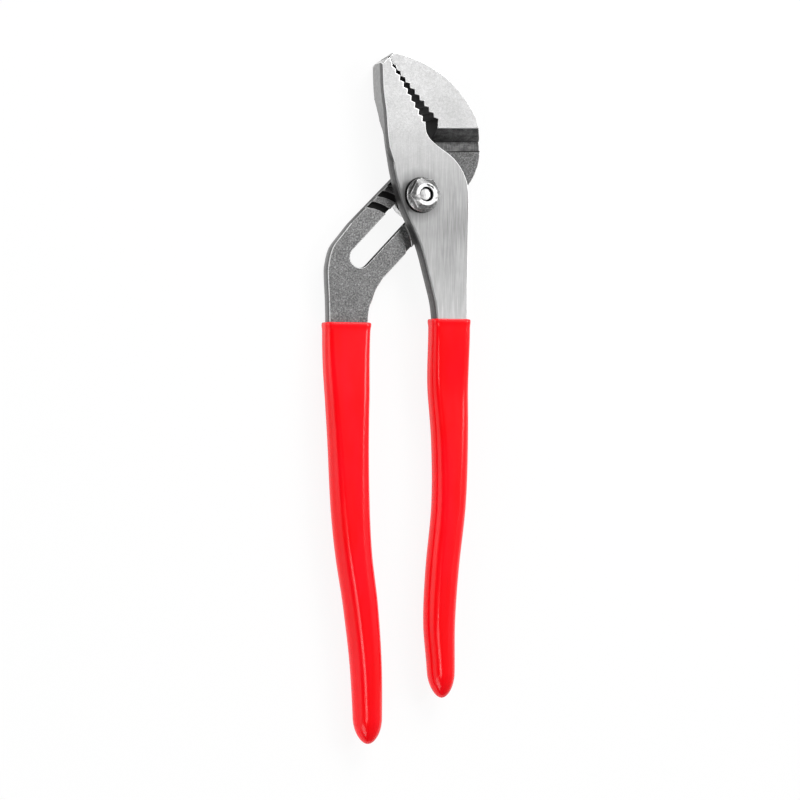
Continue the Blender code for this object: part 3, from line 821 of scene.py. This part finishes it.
# Bolt: profiles as radius and depth below its end, and as radius and height above the flat of its head
end_lip_radius = 0.00222
end_profile = ((0, 0.00004), (0.0019, 0.00002), (0.0021, 0.00006), (end_lip_radius, 0.00016),
               (thread_radius, 0.00045))
head_profile = ((head_radius, 0.0008), (0.00788, 0.0005), (0.0076, 0.00022), (0.0072, 0.00006), (0.0068, 0),
                (0.0012, 0), (0.0009, 0.00010), (0.0004, 0.00032), (0, 0.00036))


# Bolt and nut
def spun(profile, steps=96):
    """A closed solid of revolution about the bolt's axis from (radius, height) points, top down."""
    solid = bmesh.new()
    loops = []
    for radius, height in profile:
        if radius == 0:
            loops.append([solid.verts.new((bolt_axis.x, bolt_axis.y, height))])
            continue
        loops.append([solid.verts.new((bolt_axis.x + radius * math.cos(2 * math.pi * step / steps),
                                       bolt_axis.y + radius * math.sin(2 * math.pi * step / steps), height))
                      for step in range(steps)])
    for near, far in zip(loops, loops[1:]):
        for index in range(steps):
            following = (index + 1) % steps
            corners = [near[index % len(near)], near[following % len(near)],
                       far[following % len(far)], far[index % len(far)]]
            corners = [corner for place, corner in enumerate(corners) if corner not in corners[:place]]
            solid.faces.new(corners)
    bmesh.ops.recalc_face_normals(solid, faces=solid.faces)
    return solid


def helper(solid, name):
    """A bmesh as an object for a Boolean."""
    mesh = bpy.data.meshes.new(name)
    solid.to_mesh(mesh)
    solid.free()
    return link(bpy.data.objects.new(name, mesh))


def boolean(item, solid, operation):
    """Cut, join or trim with a bmesh and keep the result as the item's mesh."""
    tool = helper(solid, "tool")
    modifier = item.modifiers.new("Cut", 'BOOLEAN')
    modifier.operation = operation
    modifier.solver = 'EXACT'
    modifier.object = tool
    bpy.context.view_layer.update()
    depsgraph = bpy.context.evaluated_depsgraph_get()
    mesh = bpy.data.meshes.new_from_object(item.evaluated_get(depsgraph))
    item.modifiers.remove(modifier)
    item.data = mesh
    bpy.data.objects.remove(tool, do_unlink=True)


def hex_prism(across, low, high, turn):
    """Six-sided prism about the bolt's axis."""
    solid = bmesh.new()
    radius = across / 2 / math.cos(math.pi / 6)
    rows = []
    for height in (high, low):
        rows.append([solid.verts.new((bolt_axis.x + radius * math.cos(turn + math.pi / 3 * step),
                                      bolt_axis.y + radius * math.sin(turn + math.pi / 3 * step), height))
                     for step in range(6)])
    for index in range(6):
        following = (index + 1) % 6
        solid.faces.new((rows[0][index], rows[0][following], rows[1][following], rows[1][index]))
    solid.faces.new(rows[0])
    solid.faces.new(rows[1])
    bmesh.ops.recalc_face_normals(solid, faces=solid.faces)
    return solid


def box_solid(centre, size, turn):
    """A small block, turned about the vertical."""
    solid = bmesh.new()
    bmesh.ops.create_cube(solid, size=1)
    matrix = Matrix.Translation(centre) @ Matrix.Rotation(turn, 4, 'Z') @ Matrix.Diagonal((*size, 1))
    bmesh.ops.transform(solid, matrix=matrix, verts=solid.verts)
    return solid


def radial_box(angle, radius, height, size):
    """A small block at an angle and radius about the bolt, turned with the angle."""
    centre = Vector((bolt_axis.x + radius * math.cos(angle), bolt_axis.y + radius * math.sin(angle), height))
    return box_solid(centre, size, angle)


def thread_tree(name):
    """Geometry Nodes for a thread: a helix with a square section on edge, capped and realised."""
    tree = bpy.data.node_groups.new(name, 'GeometryNodeTree')
    sizes = (("Radius", 0.0025), ("Pitch", 0.0008), ("Turns", 4.0), ("Ridge", 0.0003), ("Start level", 0.0))
    tree.interface.new_socket("Geometry", in_out='OUTPUT', socket_type='NodeSocketGeometry')
    for label, value in sizes:
        size = tree.interface.new_socket(label, in_out='INPUT', socket_type='NodeSocketFloat')
        size.default_value = value
    tree.interface.new_socket("Finish", in_out='INPUT', socket_type='NodeSocketMaterial')
    nodes, links = tree.nodes, tree.links
    entry = nodes.new("NodeGroupInput")
    leave = nodes.new("NodeGroupOutput")
    spiral = nodes.new("GeometryNodeCurveSpiral")
    spiral.inputs["Resolution"].default_value = 32
    links.new(entry.outputs["Turns"], spiral.inputs["Rotations"])
    links.new(entry.outputs["Radius"], spiral.inputs["Start Radius"])
    links.new(entry.outputs["Radius"], spiral.inputs["End Radius"])
    rise = nodes.new("ShaderNodeMath")
    rise.operation = 'MULTIPLY'
    links.new(entry.outputs["Turns"], rise.inputs[0])
    links.new(entry.outputs["Pitch"], rise.inputs[1])
    links.new(rise.outputs[0], spiral.inputs["Height"])
    section = nodes.new("GeometryNodeCurvePrimitiveCircle")
    section.inputs["Resolution"].default_value = 4
    links.new(entry.outputs["Ridge"], section.inputs["Radius"])
    tube = nodes.new("GeometryNodeCurveToMesh")
    tube.inputs["Fill Caps"].default_value = True
    links.new(spiral.outputs["Curve"], tube.inputs["Curve"])
    links.new(section.outputs["Curve"], tube.inputs["Profile Curve"])
    lift = nodes.new("ShaderNodeCombineXYZ")
    lift.inputs["X"].default_value = bolt_axis.x
    lift.inputs["Y"].default_value = bolt_axis.y
    links.new(entry.outputs["Start level"], lift.inputs["Z"])
    shift = nodes.new("GeometryNodeTransform")
    links.new(tube.outputs["Mesh"], shift.inputs["Geometry"])
    links.new(lift.outputs["Vector"], shift.inputs["Translation"])
    whole = nodes.new("GeometryNodeRealizeInstances")
    links.new(shift.outputs["Geometry"], whole.inputs["Geometry"])
    painted = nodes.new("GeometryNodeSetMaterial")
    links.new(whole.outputs["Geometry"], painted.inputs["Geometry"])
    links.new(entry.outputs["Finish"], painted.inputs["Material"])
    links.new(painted.outputs["Geometry"], leave.inputs["Geometry"])
    return tree


def thread(name, tree, sizes, body):
    """One run of thread as a plain mesh."""
    piece = link(bpy.data.objects.new(name, bpy.data.meshes.new(name)))
    modifier = piece.modifiers.new("Thread", 'NODES')
    modifier.node_group = tree
    for item in tree.interface.items_tree:
        if item.in_out == 'INPUT' and item.name in sizes:
            modifier[item.identifier] = sizes[item.name]
    bpy.context.view_layer.update()
    depsgraph = bpy.context.evaluated_depsgraph_get()
    mesh = bpy.data.meshes.new_from_object(piece.evaluated_get(depsgraph))
    piece.modifiers.remove(modifier)
    piece.data = mesh
    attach(piece, body)


def nut_shape(low, high):
    """The nut's flange, chamfered hexagon, bore, edge notch, stake marks and burrs, joined in one mesh."""
    nut_reach = crown_profile[-1][0]
    crown = [(radius, high - depth) for radius, depth in crown_profile]
    above, below = high + cutter_overrun, low - cutter_overrun
    bore = ((0, above), (bore_mouth_radius, above), (bore_mouth_radius, high - 0.00002),
            (bore_radius, high - 0.0002), (bore_radius, below), (0, below))
    notch = Vector((bolt_axis.x + notch_place[0], bolt_axis.y + notch_place[1], low + notch_place[2]))
    item = helper(hex_prism(hexagon_across, low + hexagon_foot, high, hexagon_turn), "flange_nut_dressed")
    boolean(item, spun(crown + [(nut_reach, low), (0, low)]), 'INTERSECT')
    boolean(item, spun([(radius, low + height) for radius, height in flange_profile]), 'UNION')
    boolean(item, spun(bore), 'DIFFERENCE')
    boolean(item, box_solid(notch, notch_size, notch_turn), 'DIFFERENCE')
    for angle, radius, width in stakes:
        stake = (stake_length, width, stake_depth)
        boolean(item, radial_box(math.radians(angle), radius, high + stake_lift, stake), 'DIFFERENCE')
    for angle in burr_angles:
        boolean(item, radial_box(math.radians(angle), burr_radius, high, burr_size), 'DIFFERENCE')
    solid = bmesh.new()
    solid.from_mesh(item.data)
    bpy.data.objects.remove(item, do_unlink=True)
    return tidied(solid)


def nut_painted_shade(face, low, high):
    """How much painted shade a face of the nut gets: full in the bore, the burrs and under the flange, some
    on every slope and most on slopes facing up the tool.
    """
    bore_mouth_depth, burr_reach, burr_depth = 0.00015, 0.0004, 0.00010
    rim_radius, rim_height = 0.0061, 0.0009
    centre, normal = face.calc_center_median(), face.normal
    radius = from_axis(centre).length
    in_bore = radius < bore_radius + 0.00002 and centre.z < high - bore_mouth_depth
    in_burr = abs(radius - burr_radius) < burr_reach and centre.z < high - burr_depth \
        and centre.y > bolt_axis.y
    under_flange = radius > rim_radius and abs(normal.z) < 0.6 and centre.z < low + rim_height
    if in_bore or in_burr or under_flange:
        return 1.0
    return min(0.92, 0.32 + 1.20 * max(0.0, normal.y)) if normal.z < flat_top else 0.0


def build_nut():
    """Flange nut: sloping flange with a notch, chamfered hexagon, bore and stake marks."""
    low, high = nut_low_corner.z, nut_high_corner.z
    rim_foot, crown_wear = 0.0033, 0.8
    solid = nut_shape(low, high)
    rims = [edge for edge in solid.edges if sharp_convex(edge, math.radians(28), 0.0003)
            and min(from_axis(vertex.co).length for vertex in edge.verts) > rim_foot]
    rounded_edges(solid, rims, 0.00012, 2)
    # A face layer of painted shade for the zinc material.
    painted_shade = solid.faces.layers.float.new("painted_shade")
    wear = solid.faces.layers.float.get("edge_wear")
    for face in solid.faces:
        face[painted_shade] = nut_painted_shade(face, low, high)
        if face[painted_shade] == 1.0:
            face[wear] = 0.0
        elif face.normal.z > flat_top and face.calc_center_median().z > high - 0.00005:
            face[wear] = crown_wear
    finished(solid, "flange_nut_dressed", (zinc,), tongue_side, "flange_nut", 30)


def build_bolt():
    """Headed bolt: plain disc head underneath, shank and the thinner threaded end."""
    top = bolt_high_corner.z
    head = strip_level - head_recess - face_gap
    bevel = 0.0002
    profile = [(radius, top - depth) for radius, depth in end_profile]
    profile += [(thread_radius, front_level + 0.0001), (shank_radius - bevel, front_level),
                (shank_radius, front_level - bevel), (shank_radius, head + bevel),
                (shank_radius + bevel, head), (head_radius - bevel, head), (head_radius, head - bevel)]
    profile += head_profile
    solid = spun(profile)
    wear = solid.faces.layers.float.new("edge_wear")
    painted_shade = solid.faces.layers.float.new("painted_shade")
    # Painted shade on the thread just below the bolt's end, and wear on the end itself.
    for face in solid.faces:
        centre = face.calc_center_median()
        at_end = centre.z > top - 0.0001
        on_thread = end_lip_radius < from_axis(centre).length < 0.0030
        face[wear] = 0.6 if at_end else 0.0
        face[painted_shade] = 1.0 if on_thread and not at_end else 0.0
    finished(solid, "pivot_bolt_dressed", (zinc,), tongue_side, "pivot_bolt", 30)


build_nut()
build_bolt()
# Both threads are very dark steel, painted shade inside the bore.
helix = thread_tree("thread_helix")
thread("bore_thread", helix, {
    "Radius": 0.00272, "Pitch": 0.0007, "Turns": 5.0, "Ridge": 0.00022,
    "Start level": nut_low_corner.z + 0.0008, "Finish": shade_black}, tongue_side)
thread("bolt_thread", helix, {
    "Radius": 0.00230, "Pitch": 0.0007, "Turns": 4.0, "Ridge": 0.00022,
    "Start level": nut_low_corner.z + 0.0003, "Finish": shade_black}, tongue_side)

# Lamps: name, place, target, width, height and power
lamps = (
    ("key_softbox", (0.68, 0.18, 0.71), (0, 0.04, 0), 0.36, 0.36, 2.9),
    ("top_softbox", (0.22, 0.78, 0.62), (0, 0.02, 0), 0.60, 0.40, 6.8),
    ("strip_light", (-0.26, -0.30, 0.96), (0, -0.08, 0), 0.10, 0.36, 1.05),
    ("low_softbox", (-0.42, -0.62, 0.40), (0, -0.16, 0), 0.50, 0.30, 1.7),
)

# Camera: tilt to the left of straight above, distance, lens, and its target from the bolt's axis
view_tilt = math.radians(22.5)
view_distance = 0.8
view_lens = 97.65
view_target = (-0.0065, -0.0753)


# Floor, light and camera
def seen_through(tree, *rays):
    """One for the named kinds of ray, zero for the rest."""
    path = tree.nodes.new("ShaderNodeLightPath")
    seen = path.outputs[rays[0]]
    for ray in rays[1:]:
        seen = math_node(tree, 'MAXIMUM', seen, path.outputs[ray])
    return seen


def blend_shaders(tree, share, first, second, output):
    """Two shaders mixed by a share into the output's surface."""
    blend = tree.nodes.new("ShaderNodeMixShader")
    tree.links.new(share, blend.inputs[0])
    tree.links.new(first.outputs[0], blend.inputs[1])
    tree.links.new(second.outputs[0], blend.inputs[2])
    tree.links.new(blend.outputs[0], output.inputs["Surface"])


def build_floor():
    """A pale floor that shows as near white and keeps the shadow."""
    half_size, drop = 4.0, 0.0001
    glow_share = 0.90
    corners = [(x * half_size, y * half_size, 0) for x, y in ((-1, -1), (1, -1), (1, 1), (-1, 1))]
    mesh = bpy.data.meshes.new("floor")
    mesh.from_pydata(corners, [], [(0, 1, 2, 3)])
    floor = link(bpy.data.objects.new("floor", mesh))
    floor.location.z = -drop
    material = bpy.data.materials.new("pale_floor")
    material.use_nodes = True
    tree = material.node_tree
    tree.nodes.clear()
    output = tree.nodes.new("ShaderNodeOutputMaterial")
    matte = tree.nodes.new("ShaderNodeBsdfDiffuse")
    matte.inputs["Color"].default_value = (*grey(0.96), 1)
    glow = tree.nodes.new("ShaderNodeEmission")
    glow.inputs["Color"].default_value = (*grey(1.0), 1)
    glow.inputs["Strength"].default_value = 1.0
    seen = seen_through(tree, "Is Camera Ray", "Is Glossy Ray", "Is Transmission Ray")
    blend_shaders(tree, times(tree, seen, glow_share), matte, glow, output)
    mesh.materials.append(material)


def build_world():
    """A soft studio: bright to the far left and to the right, dim above the camera, white to the camera."""
    brighter_along, along_levels = (-0.24, 0.16), (0.55, 1.15)
    world = bpy.data.worlds.new("studio")
    bpy.context.scene.world = world
    world.use_nodes = True
    tree = world.node_tree
    tree.nodes.clear()
    output = tree.nodes.new("ShaderNodeOutputWorld")
    coordinate = tree.nodes.new("ShaderNodeTexCoord")
    split = tree.nodes.new("ShaderNodeSeparateXYZ")
    tree.links.new(coordinate.outputs["Generated"], split.inputs[0])
    across = ramp(tree, spread(tree, split.outputs[0], -1, 1), (0.00, 2.4), (0.08, 2.4), (0.14, 0.12),
                  (0.50, 0.12), (0.62, 0.42), (0.74, 0.50), (0.84, 0.85), (1.0, 0.85))
    along = spread(tree, split.outputs[1], *brighter_along, *along_levels)
    studio = tree.nodes.new("ShaderNodeBackground")
    tree.links.new(times(tree, across, along), studio.inputs["Strength"])
    white = tree.nodes.new("ShaderNodeBackground")
    white.inputs["Color"].default_value = (*grey(1.0), 1)
    white.inputs["Strength"].default_value = 1.0
    seen = seen_through(tree, "Is Camera Ray", "Is Transmission Ray")
    blend_shaders(tree, seen, studio, white, output)


def softbox(name, place, target, width, height, power):
    """A rectangular lamp at a place, looking at a target."""
    lamp = bpy.data.lights.new(name, 'AREA')
    lamp.shape = 'RECTANGLE'
    lamp.size = width
    lamp.size_y = height
    lamp.energy = power
    item = link(bpy.data.objects.new(name, lamp))
    item.location = place
    item.rotation_euler = (Vector(target) - Vector(place)).to_track_quat('-Z', 'Y').to_euler()


def build_camera():
    """The photograph's view: a little to the left of straight above, a long way off."""
    data = bpy.data.cameras.new("photo_camera")
    data.sensor_width = 36
    data.lens = view_lens
    camera = link(bpy.data.objects.new("photo_camera", data))
    target = Vector((bolt_axis.x + view_target[0], bolt_axis.y + view_target[1], middle_level))
    camera.location = target + view_distance * Vector((-math.sin(view_tilt), 0, math.cos(view_tilt)))
    camera.rotation_euler = (0, -view_tilt, 0)
    bpy.context.scene.camera = camera


build_floor()
build_world()
for lamp in lamps:
    softbox(*lamp)
build_camera()
bpy.context.scene.view_settings.view_transform = 'Standard'
